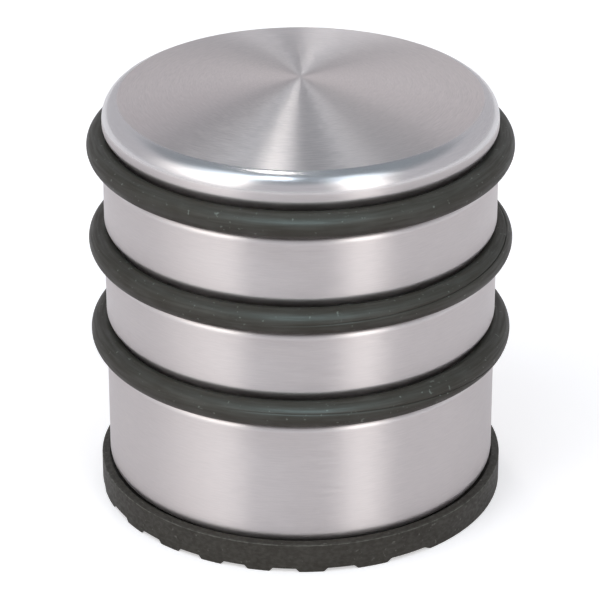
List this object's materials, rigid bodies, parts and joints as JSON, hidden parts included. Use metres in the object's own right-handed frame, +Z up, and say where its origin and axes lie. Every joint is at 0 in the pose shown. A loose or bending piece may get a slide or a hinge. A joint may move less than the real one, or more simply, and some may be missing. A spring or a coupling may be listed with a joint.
{
  "type": "weighted floor door stop",
  "caption": "Free-standing weighted cylinder door stop: brushed steel shell with a shallow domed top, rubber bumper rings in rolled grooves and a ribbed rubber foot.",
  "frame": {"origin": "centre of the underside, at floor level, in the plane of the foot's rib tips", "axes": "+Z up along the axis of the cylinder; X and Y are equal except for the ribs under the foot, which run 25 degrees from +Y towards +X"},
  "size_m": [0.081, 0.081, 0.0845],
  "materials": {
    "shell": "brushed round the axis, satin",
    "ring_rubber": "matte moulded rubber",
    "foot_rubber": "matte moulded rubber",
    "weight": "as cast, ends turned",
    "base_plate": "zinc plated sheet",
    "base_screws": "zinc plated",
    "packing_foam": "closed-cell foam",
    "adhesive": "double-sided adhesive"
  },
  "bodies": {
    "housing": {"shell": "shell", "rubber_foot": "foot_rubber", "weight": "weight", "base_plate": "base_plate", "base_screws": "base_screws", "packing_disc": "packing_foam", "adhesive_disc": "adhesive"},
    "top_bumper": {"upper_ring": "ring_rubber"},
    "mid_bumper": {"middle_ring": "ring_rubber"},
    "low_bumper": {"lower_ring": "ring_rubber"}
  },
  "joints": [
    {"name": "upper_ring_turn", "type": "hinge", "parent": "housing", "child": "top_bumper", "pos_m": [0, 0, 0.07165], "axis": [0, 0, 1], "continuous": true},
    {"name": "middle_ring_turn", "type": "hinge", "parent": "housing", "child": "mid_bumper", "pos_m": [0, 0, 0.05245], "axis": [0, 0, 1], "continuous": true},
    {"name": "lower_ring_turn", "type": "hinge", "parent": "housing", "child": "low_bumper", "pos_m": [0, 0, 0.03325], "axis": [0, 0, 1], "continuous": true}
  ]
}
